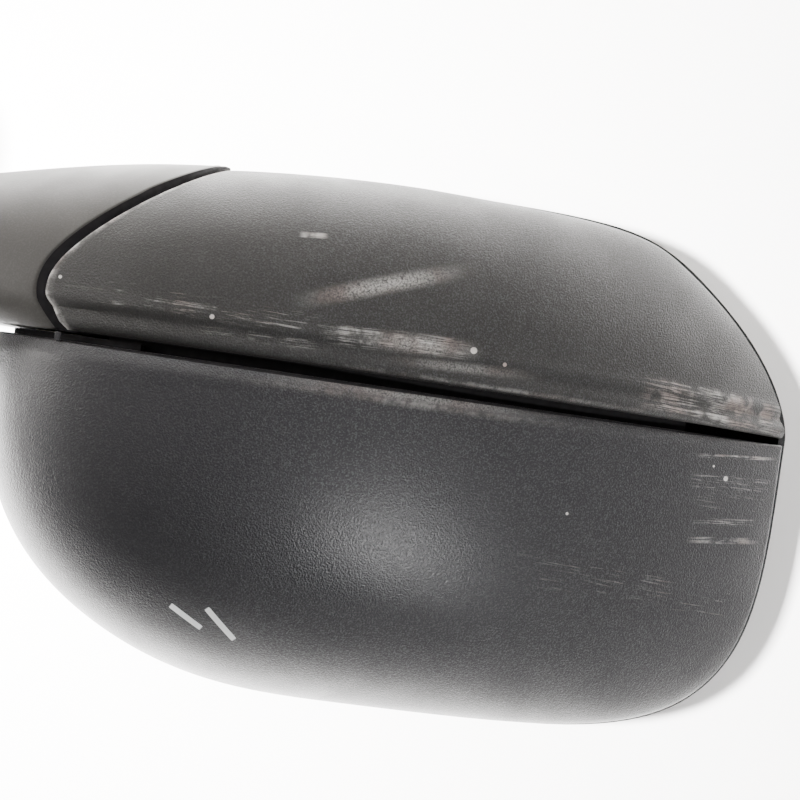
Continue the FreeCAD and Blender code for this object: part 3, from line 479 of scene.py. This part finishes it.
def arm_end(w):
    """Where along x each line of the arm's skin stops, a seam's width short of the trim."""
    b = np.linspace(GROOVE / 2 / TRIM_DROP, 0.985, 160)
    seam = trim_skin(seam_start(b), b)[::-1]
    lean = np.gradient(seam[:, 0]) / np.gradient(seam[:, 2])
    limits = seam[:, 0] - SEAM_WIDTH * np.minimum(np.sqrt(1 + lean ** 2), 1.7)
    low, high = np.full_like(w, PIVOT_X - 12.0), np.full_like(w, PIVOT_X + ARM_EDGE_R)
    for _ in range(40):
        middle = (low + high) / 2
        x, y, z = arm_skin(middle, w).transpose()
        radius = np.hypot(x - PIVOT_X, y)
        hidden = np.clip((SHOWN_Y - y) / 10.0, 0, 1)
        limit = np.interp(z, seam[:, 2], limits) + 60 * hidden
        reach = ARM_EDGE_R - 0.6 + 2.6 * np.clip((y - SHOWN_Y) / 8.0, 0, 1)
        outside = (x > limit) | ((x > PIVOT_X - 5) & (radius > reach))
        high = np.where(outside, middle, high)
        low = np.where(outside, low, middle)
    return low


# ---- mesh work ----------------------------------------------------------------------------------
def steps(count, near_start, near_end):
    """Parameters 0 to 1, even in the middle, with close rows of rolled edge at both ends.

    near_start and near_end say how many millimetres one whole unit is worth at that end."""
    close = (0.0, 0.1, 0.25, 0.45, 0.7, 1.0, 1.4, 2.0)
    first = [d / near_start for d in close]
    last = [1 - d / near_end for d in close[::-1]]
    middle = list(np.linspace(first[-1], last[0], count))[1:-1]
    return np.array(first + middle + last)


def surface_normals(points):
    across = np.gradient(points, axis=0)
    down = np.gradient(points, axis=1)
    normal = np.cross(across, down)
    length = np.linalg.norm(normal, axis=-1, keepdims=True)
    normal = normal / np.maximum(length, 1e-9)
    return normal * np.sign(normal[..., 1].mean())


def border_distances(points, sides):
    """Distance of each grid point from each of the named borders, along rows and columns."""
    rows = np.linalg.norm(np.diff(points, axis=1), axis=-1).cumsum(axis=1)
    rows = np.concatenate([np.zeros((len(points), 1)), rows], axis=1)
    columns = np.linalg.norm(np.diff(points, axis=0), axis=-1).cumsum(axis=0)
    columns = np.concatenate([np.zeros((1, points.shape[1])), columns], axis=0)
    options = {"v0": rows, "v1": rows[:, -1:] - rows, "u0": columns, "u1": columns[-1:] - columns}
    return {side: options[side] for side in sides}


def rolled(points, normals, sides):
    """Rounds the named borders off: each has its own radius in millimetres."""
    depth = np.zeros(points.shape[:2])
    for side, distance in border_distances(points, sides).items():
        radius = sides[side]
        away = 1 - np.clip(distance / radius, 0, 1)
        depth = np.maximum(depth, radius * (1 - np.sqrt(np.clip(1 - away ** 2, 0, 1))))
    return points - normals * depth[..., None]


def strip_behind(front, z, near, far, clear=None):
    """Closed strip inside a cover between two heights, from near to far behind its front edge.

    Gives points in millimetres and faces. Where clear is given, it keeps out of the arm's drum."""
    rails = []
    for inset in (near, far):
        rail = front[:, :2].copy()
        rail[:, 0] += (HEAD_MID_X - rail[:, 0]) * inset * 0.0055
        rail[:, 1] = np.maximum(rail[:, 1] - inset, EDGE_Y)
        rails.append(rail)
    if clear:
        beside = rails[1][:, 0] - PIVOT_X
        limit = np.sqrt(np.clip(clear ** 2 - beside ** 2, 0, None))
        keep = (beside > 0) & (rails[0][:, 1] > limit + 0.2)
        rails = [rails[0][keep], rails[1][keep]]
        rails[1][:, 1] = np.maximum(rails[1][:, 1], limit[keep])
    corners = []
    for rail, height in ((rails[0], z[0]), (rails[0], z[1]), (rails[1], z[1]), (rails[1], z[0])):
        corners.append(np.column_stack([rail, np.full(len(rail), height)]))
    points = np.stack(corners, axis=1).reshape(-1, 3)
    count = len(rails[0])
    faces = []
    for i in range(count - 1):
        for k in range(4):
            after = (k + 1) % 4
            faces.append((4 * i + k, 4 * i + 4 + k, 4 * i + 4 + after, 4 * i + after))
    last = 4 * (count - 1)
    faces += [(0, 1, 2, 3), (last + 3, last + 2, last + 1, last)]
    return points, faces


def shell_object(name, outer, inner, body, node, material, strips=(), wear_and_sheen=None, painted_shade_from=None):
    """Closed wall between two grids of points given in millimetres, with strips that belong to it."""
    m, n = outer.shape[:2]
    points = np.concatenate([outer.reshape(-1, 3), inner.reshape(-1, 3)])

    def out(i, j):
        return i * n + j

    def back(i, j):
        return m * n + i * n + j

    faces = []
    for i in range(m - 1):
        for j in range(n - 1):
            faces.append((out(i, j), out(i + 1, j), out(i + 1, j + 1), out(i, j + 1)))
            faces.append((back(i, j), back(i, j + 1), back(i + 1, j + 1), back(i + 1, j)))
        for j, flip in ((0, False), (n - 1, True)):
            side = (out(i, j), back(i, j), back(i + 1, j), out(i + 1, j))
            faces.append(side[::-1] if flip else side)
    for j in range(n - 1):
        for i, flip in ((0, True), (m - 1, False)):
            side = (out(i, j), back(i, j), back(i, j + 1), out(i, j + 1))
            faces.append(side[::-1] if flip else side)
    wall_faces = len(faces)
    for strip_points, strip_faces in strips:
        first = len(points)
        points = np.concatenate([points, strip_points])
        faces += [tuple(k + first for k in face) for face in strip_faces]
    mesh = bpy.data.meshes.new(name)
    mesh.from_pydata((points * MM).tolist(), [], faces)
    if wear_and_sheen is not None:
        values = np.zeros(len(points), dtype=np.float32)
        values[:m * n] = wear_and_sheen.reshape(-1)
        mesh.attributes.new("wear_and_sheen", "FLOAT", "POINT").data.foreach_set("value", values)
    # The strips, and the rows past the given start, take a duller, darker plastic: painted shade.
    painted_shade_faces = list(range(wall_faces, len(faces)))
    if painted_shade_from is not None:
        painted_shade_faces += range(painted_shade_from * 2 * n, (m - 1) * 2 * n)
    for k in painted_shade_faces:
        mesh.polygons[k].material_index = 1
    mesh.validate()
    piece = bpy.data.objects.new(name, mesh)
    bpy.context.scene.collection.objects.link(piece)
    if signed_volume(mesh) < 0:
        mesh.flip_normals()
    mesh.shade_smooth()
    mesh.set_sharp_from_angle(angle=math.radians(38))
    mesh.materials.append(material)
    if painted_shade_faces:
        mesh.materials.append(painted_shade_black())
    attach(piece, body)
    if node:
        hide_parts(node)
    return piece


def painted_shade_black():
    """Black plastic, duller than the covers and darker than the trim and the arm, for faces behind the groove and
    round the arm's end: painted shade.
    """
    found = bpy.data.materials.get("groove_painted_shade")
    if found:
        return found
    tree = Tree("groove_painted_shade")
    shade = tree.ramp(tree.noise(400.0), 0.3, 0.7, 0.75, 0.9)
    tree.links.new(shade, tree.shader.inputs["Roughness"])
    tree.shader.inputs["Base Color"].default_value = (0.010, 0.009, 0.010, 1)
    tree.shader.inputs["Specular IOR Level"].default_value = 0.2
    return tree.material


def signed_volume(mesh):
    total = 0.0
    for face in mesh.polygons:
        corners = [mesh.vertices[k].co for k in face.vertices]
        for p, q in zip(corners[1:], corners[2:]):
            total += corners[0].dot(p.cross(q)) / 6
    return total


def inner_skin(outer, normals):
    inner = outer - normals * WALL
    inner[..., 1] = np.maximum(inner[..., 1], EDGE_Y)
    return inner


# ---- dome ---------------------------------------------------------------------------------------
CHAMFER_WIDTH = 4.2
CHAMFER_SLOPE = 0.46


def make_dome(material):
    """Upper cover, with a narrow flat chamfer along the groove."""
    u, v = np.meshgrid(steps(150, 158, 774), steps(90, 190, 105), indexing="ij")
    skin = dome_at(u, v)
    normals = surface_normals(skin)
    from_groove = skin[..., 2] - GROOVE_Z - GROOVE / 2
    fade = np.clip((HALF_WIDTH * 2 - (skin[..., 0] - HEAD_MID_X + HALF_WIDTH)) / 30.0, 0, 1)
    cut = np.clip(CHAMFER_WIDTH - from_groove, 0, None) * CHAMFER_SLOPE * fade
    shaped = skin - normals * cut[..., None]
    outer = rolled(shaped, normals, {"v0": 1.0, "v1": 0.7, "u0": 0.7, "u1": 0.7})
    outer[..., 1] = np.maximum(outer[..., 1], EDGE_Y + 0.4)
    inner = inner_skin(shaped, normals)
    inner[0, :, 1] = EDGE_Y
    inner[-1, :, 1] = EDGE_Y
    inner[:, -1, 1] = EDGE_Y
    low = GROOVE_Z + GROOVE / 2
    front = dome_at(np.linspace(0.04, 0.96, 90), 0.0)
    flange = strip_behind(front, (low + 0.05, low + WALL), *FLANGE_INSETS)
    skirt = strip_behind(front[front[:, 0] < SKIRT_END_X], (ARM_TOP_Z + SKIRT_GAP, low + 1), *SKIRT_INSETS)
    # A painted highlight line along the chamfer's lower edge, near the middle of the head.
    chamfer_edge_highlight = np.exp(-((from_groove - CHAMFER_WIDTH) / 0.5) ** 2) * 0.3
    reach = np.exp(-((skin[..., 0] - 228.0) / 38.0) ** 2)
    return shell_object("dome_shell", outer, inner, "head", "dome_cover", material,
                        [flange, skirt], chamfer_edge_highlight * reach)


# ---- lower trim ---------------------------------------------------------------------------------
def clear_of_drum(points):
    """Moves points outboard until they are outside the cylinder round the arm's end."""
    reach = np.sqrt(np.clip(CUT_R ** 2 - points[..., 1] ** 2, 0, None))
    points[..., 0] = np.maximum(points[..., 0], PIVOT_X + reach)


def make_trim(material):
    """Lower cover: a ridge along it, a bead on the groove, and a rolled seam against the arm."""
    u, v = np.meshgrid(steps(150, 270, 500), steps(90, 118, 80), indexing="ij")
    skin = np.stack([trim_at(u[:, j], v[:, j]) for j in range(u.shape[1])], axis=1)
    normals = surface_normals(skin)
    below = GROOVE_Z - skin[..., 2]
    bead = 0.8 * np.exp(-((below - 4.4) / 1.5) ** 2) - 0.9 * np.exp(-((below - 8.8) / 1.4) ** 2)
    bead += 0.5 * np.exp(-((below - 12.6) / 2.0) ** 2)
    shaped = skin + normals * bead[..., None]
    outer = rolled(shaped, normals, {"v0": 2.0, "v1": 0.7, "u0": 1.8, "u1": 0.7})
    outer[..., 1] = np.maximum(outer[..., 1], EDGE_Y + 0.4)
    inner = inner_skin(shaped, normals)
    inner[-1, :, 1] = EDGE_Y
    inner[:, -1, 1] = EDGE_Y
    clear_of_drum(inner)
    high = GROOVE_Z - GROOVE / 2 - 0.4
    front = trim_at(np.linspace(0.01, 0.96, 80), np.zeros(80))
    flange = strip_behind(front, (high - WALL, high), *FLANGE_INSETS, CUT_R)
    tongue = strip_behind(front, (high - 1, GROOVE_Z + GROOVE / 2 - 0.02), *TONGUE_INSETS, CUT_R)
    seam = border_distances(skin, ("u0", "v0"))
    # Real wear along the seam against the arm, and a painted highlight line along the bead near the middle of the
    # head.
    wear_and_sheen = np.exp(-((seam["u0"] - 1.0) / 0.9) ** 2) * 0.9
    bead_highlight = np.exp(-((below - 3.4) / 0.5) ** 2) * np.exp(-((skin[..., 0] - 262.0) / 45.0) ** 2) * 0.3
    return shell_object("trim_shell", outer, inner, "head", "lower_trim", material,
                        [flange, tongue], np.maximum(wear_and_sheen, bead_highlight))


# ---- arm ----------------------------------------------------------------------------------------
def make_arm(material):
    """Front cover of the arm: its skin, a rolled edge at the seam, and the wall round the pivot."""
    w = np.linspace(0, 1, 90)
    ends = arm_end(w)
    share = steps(90, 100, 100)
    rows = []
    for k, end in enumerate(ends):
        x = ARM_START_X + (end - ARM_START_X) * share
        line = arm_skin(x, np.full_like(x, w[k]))
        radius = math.hypot(line[-1, 0] - PIVOT_X, line[-1, 1])
        start = math.atan2(line[-1, 1], line[-1, 0] - PIVOT_X)
        stop = math.asin(ARM_SPLIT_Y / ARM_EDGE_R)
        share_round = np.linspace(0, 1, 40)[1:] ** 1.6
        turn = start + (stop - start) * share_round
        radius = radius + (ARM_EDGE_R - radius) * np.minimum(share_round * 12, 1)
        arc = np.stack([PIVOT_X + radius * np.cos(turn), radius * np.sin(turn),
                        np.full_like(turn, line[-1, 2])], -1)
        rows.append(np.concatenate([line, arc]))
    skin = np.stack(rows, axis=1)
    count = len(share)
    flat = surface_normals(skin[:count])
    normals = np.concatenate([flat, round_normals(skin[count:])])
    outer = skin.copy()
    outer[:count] = rolled(skin[:count], flat, {"u1": 1.2, "u0": 0.5})
    inner = skin - normals * WALL
    # The wall round the pivot takes the duller, darker plastic of painted shade.
    return shell_object("arm_front_shell", outer, inner, "arm", "arm_cover_front", material,
                        painted_shade_from=count)


def round_normals(points):
    """Outward from the pivot's axis."""
    normal = points - np.array([PIVOT_X, 0, 0])
    normal[..., 2] = 0
    return normal / np.linalg.norm(normal, axis=-1, keepdims=True)


def make_groove_tab(material):
    """Small moulded tab that bridges the groove next to the arm's seam."""
    edge = dome_at(np.linspace(0, 1, 400), 0.0)
    spot = edge[np.argmin(np.abs(edge[:, 0] - 113.5))]
    mesh = bpy.data.meshes.new("groove_tab")
    half, depth = 1.0, 1.6
    corners = [(x, y, z) for x in (-half, half) for y in (-depth, -0.6) for z in (-2.4, 0.6)]
    points = [((spot[0] + x) * MM, (spot[1] + y) * MM, (spot[2] + z) * MM) for x, y, z in corners]
    mesh.from_pydata(points, [], [(0, 1, 3, 2), (4, 6, 7, 5), (0, 4, 5, 1), (2, 3, 7, 6), (0, 2, 6, 4),
                                  (1, 5, 7, 3)])
    tab = bpy.data.objects.new("groove_tab", mesh)
    bpy.context.scene.collection.objects.link(tab)
    mesh.materials.append(material)
    bevel = tab.modifiers.new("rounded", "BEVEL")
    bevel.width = 0.35 * MM
    bevel.segments = 3
    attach(tab, "head")


# ---- stage --------------------------------------------------------------------------------------
def add_plane(name, centre, width, height, normal, material):
    mesh = bpy.data.meshes.new(name)
    corners = [(-width / 2, -height / 2, 0), (width / 2, -height / 2, 0),
               (width / 2, height / 2, 0), (-width / 2, height / 2, 0)]
    mesh.from_pydata(corners, [], [(0, 1, 2, 3)])
    plane = bpy.data.objects.new(name, mesh)
    bpy.context.scene.collection.objects.link(plane)
    plane.rotation_euler = Vector(normal).to_track_quat("Z", "Y").to_euler()
    plane.location = centre
    mesh.materials.append(material)
    return plane


def stage_material(name, color, one_sided, glow=0.0):
    tree = Tree(name)
    shader = tree.shader
    shader.inputs["Emission Color"].default_value = (1, 0.985, 0.965, 1)
    shader.inputs["Emission Strength"].default_value = glow
    shader.inputs["Base Color"].default_value = (*color, 1)
    shader.inputs["Roughness"].default_value = 0.6
    if one_sided:
        clear = tree.nodes.new("ShaderNodeBsdfTransparent")
        mix = tree.nodes.new("ShaderNodeMixShader")
        geometry = tree.nodes.new("ShaderNodeNewGeometry")
        tree.links.new(geometry.outputs["Backfacing"], mix.inputs[0])
        tree.links.new(shader.outputs[0], mix.inputs[1])
        tree.links.new(clear.outputs[0], mix.inputs[2])
        tree.links.new(mix.outputs[0], tree.nodes["Material Output"].inputs["Surface"])
    return tree.material


def add_light(name, place, target, size, power, color=(1, 1, 1)):
    data = bpy.data.lights.new(name, "AREA")
    data.energy = power
    data.color = color
    data.size = size
    light = bpy.data.objects.new(name, data)
    bpy.context.scene.collection.objects.link(light)
    light.location = place
    aim = Vector(target) - Vector(place)
    light.rotation_euler = aim.to_track_quat("-Z", "Y").to_euler()
    return light


def add_stage():
    """The pale table top that the head lies on, which can't be seen from behind, and a floor."""
    middle = Vector((0.23, 0, 0.06))
    add_plane("table_top", (middle.x, REAR_Y * MM - 1 * MM, middle.z), 2.4, 2.4, (0, 1, 0),
              stage_material("table_white", (0.90, 0.885, 0.87), True, 0.1))
    add_plane("floor", (middle.x, 0.0, -0.22), 6.0, 6.0, (0, 0, 1),
              stage_material("floor_white", (0.80, 0.79, 0.78), False))


def add_lights():
    target = (0.23, 0.0, 0.05)
    windows = [add_light("window", (0.10, 0.66, -0.92), target, 1.2, 27.0, (1.0, 0.985, 0.955)),
               add_light("high_window", (0.25, 0.95, -0.62), target, 0.6, 6.5, (1.0, 0.985, 0.955)),
               add_light("left_window", (-0.85, 0.35, -0.26), target, 0.7, 22.0, (1.0, 0.975, 0.94))]
    add_light("flash", (0.544, 0.62, 0.347), target, 0.05, 3.2)
    lamp = add_light("table_lamp", (-0.12, 0.56, 0.04), target, 0.08, 75.0)
    table_only = bpy.data.collections.new("table_only")
    table_only.objects.link(bpy.data.objects["table_top"])
    lamp.light_linking.receiver_collection = table_only
    not_table = bpy.data.collections.new("not_table")
    not_table.objects.link(bpy.data.objects["table_top"])
    not_table.collection_objects[0].light_linking.link_state = "EXCLUDE"
    for window in windows:
        window.light_linking.receiver_collection = not_table
    world = bpy.data.worlds.new("surroundings")
    bpy.context.scene.world = world
    world.use_nodes = True
    world.node_tree.nodes["Background"].inputs[0].default_value = (0.95, 0.96, 1.0, 1)
    world.node_tree.nodes["Background"].inputs[1].default_value = 0.15


# ---- dressing of the design's own parts ---------------------------------------------------------
def slot_materials():
    return {
        "textured_black": grained_plastic("arm_black", (0.046, 0.043, 0.039), 0.5, 0.12),
        "trim_black": grained_plastic("trim_black", (0.018, 0.017, 0.016), 0.46, 1.0, TRIM_SCUFFS,
                                      TRIM_SHEEN_AND_RUBS, TRIM_SPECKS),
        "bezel_black": grained_plastic("bezel_black", (0.014, 0.014, 0.015), 0.38, 0.5),
        "inner_plastic": plain_plastic("inner_plastic", (0.02, 0.02, 0.021), 0.5),
        "natural_plastic": plain_plastic("natural_plastic", (0.66, 0.63, 0.55), 0.4),
        "cast_aluminium": metal("cast_aluminium", (0.56, 0.56, 0.57), 0.48, 350.0, 0.00012),
        "zinc_steel": metal("zinc_steel", (0.62, 0.61, 0.57), 0.3),
        "spring_steel": metal("spring_steel", (0.30, 0.29, 0.28), 0.36),
        "motor_steel": metal("motor_steel", (0.55, 0.55, 0.56), 0.28),
        "mirror_glass": mirror_glass("mirror_glass"),
        "heater_foil": heater_foil("heater_foil"),
        "seal_rubber": plain_plastic("seal_rubber", (0.013, 0.013, 0.013), 0.75),
    }


def dress_nodes(materials):
    """Gives every part of the design the material of its slot."""
    slots = {part["node"]: part["material_slot"] for part in frame["record"]["subparts"]}
    for node, thing in frame["nodes"].items():
        thing.data.materials.clear()
        thing.data.materials.append(materials[slots[node]])


add_camera()
add_stage()
add_lights()
materials = slot_materials()
dress_nodes(materials)
dome_material = grained_plastic("dome_black", (0.010, 0.0095, 0.012), 0.42, 1.0, DOME_SCUFFS, DOME_CHAMFER_SHEEN,
                                DOME_SPECKS, PEN_STROKES, 0.35)
make_dome(dome_material)
make_trim(materials["trim_black"])
make_arm(materials["textured_black"])
make_groove_tab(dome_material)
